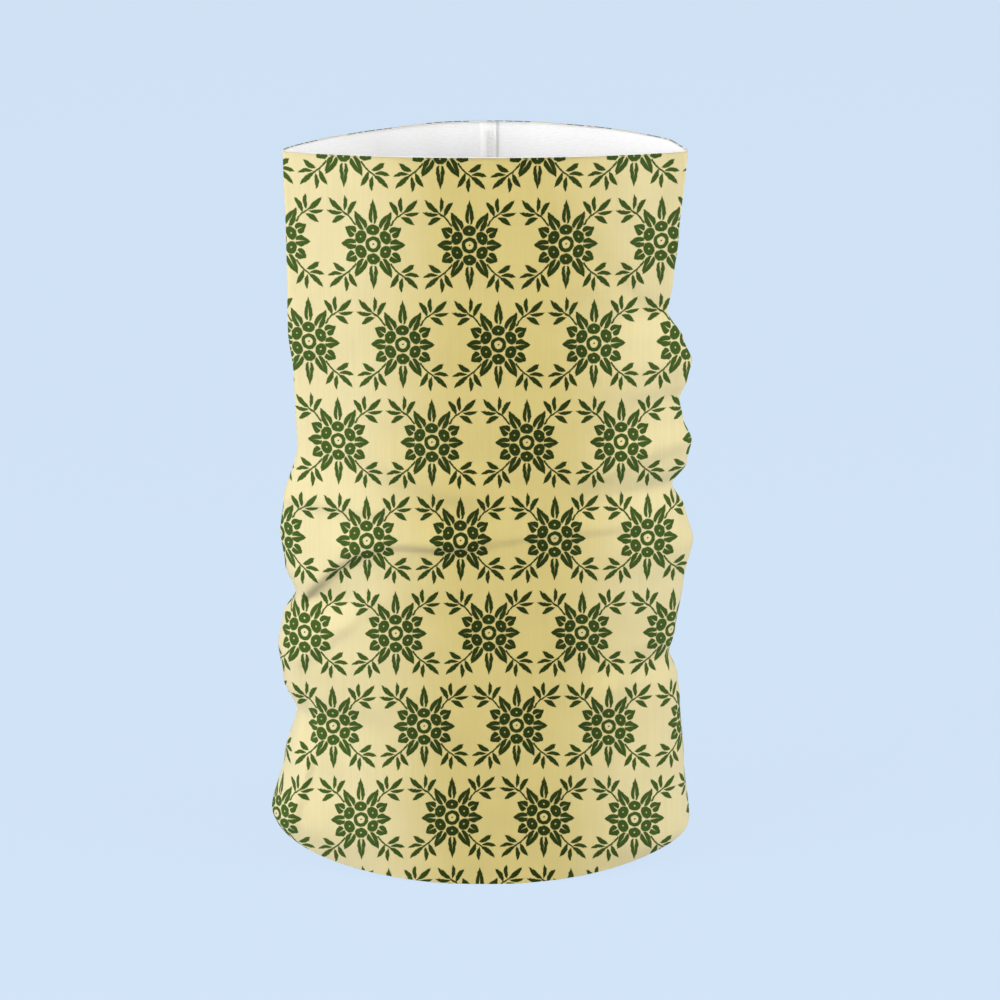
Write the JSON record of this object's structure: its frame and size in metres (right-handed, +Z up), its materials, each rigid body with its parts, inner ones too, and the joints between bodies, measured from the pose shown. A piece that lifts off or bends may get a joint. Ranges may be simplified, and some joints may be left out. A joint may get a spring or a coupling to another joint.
{
  "type": "neck gaiter",
  "caption": "Open-ended tube of thin printed stretch knit, worn round the neck and pulled up over the face, closed by an overlock seam down the centre back.",
  "frame": {"origin": "centre of the bounding box at the bottom cut edge, on which the open tube stands", "axes": "+Z up along the tube to the top opening, +Y from the plain front to the seam at centre back, +X to the wearer's left"},
  "size_m": [0.2344, 0.125, 0.398],
  "materials": {
    "printed_knit": "fine polyester and elastane jersey, dark green print on cream outside, plain white inside",
    "sewing_thread": "white textured polyester overlock thread"
  },
  "bodies": {
    "root": {"body_panel": "printed_knit", "left_needle_thread": "sewing_thread", "right_needle_thread": "sewing_thread", "upper_looper_thread": "sewing_thread", "lower_looper_thread": "sewing_thread"}
  },
  "joints": []
}
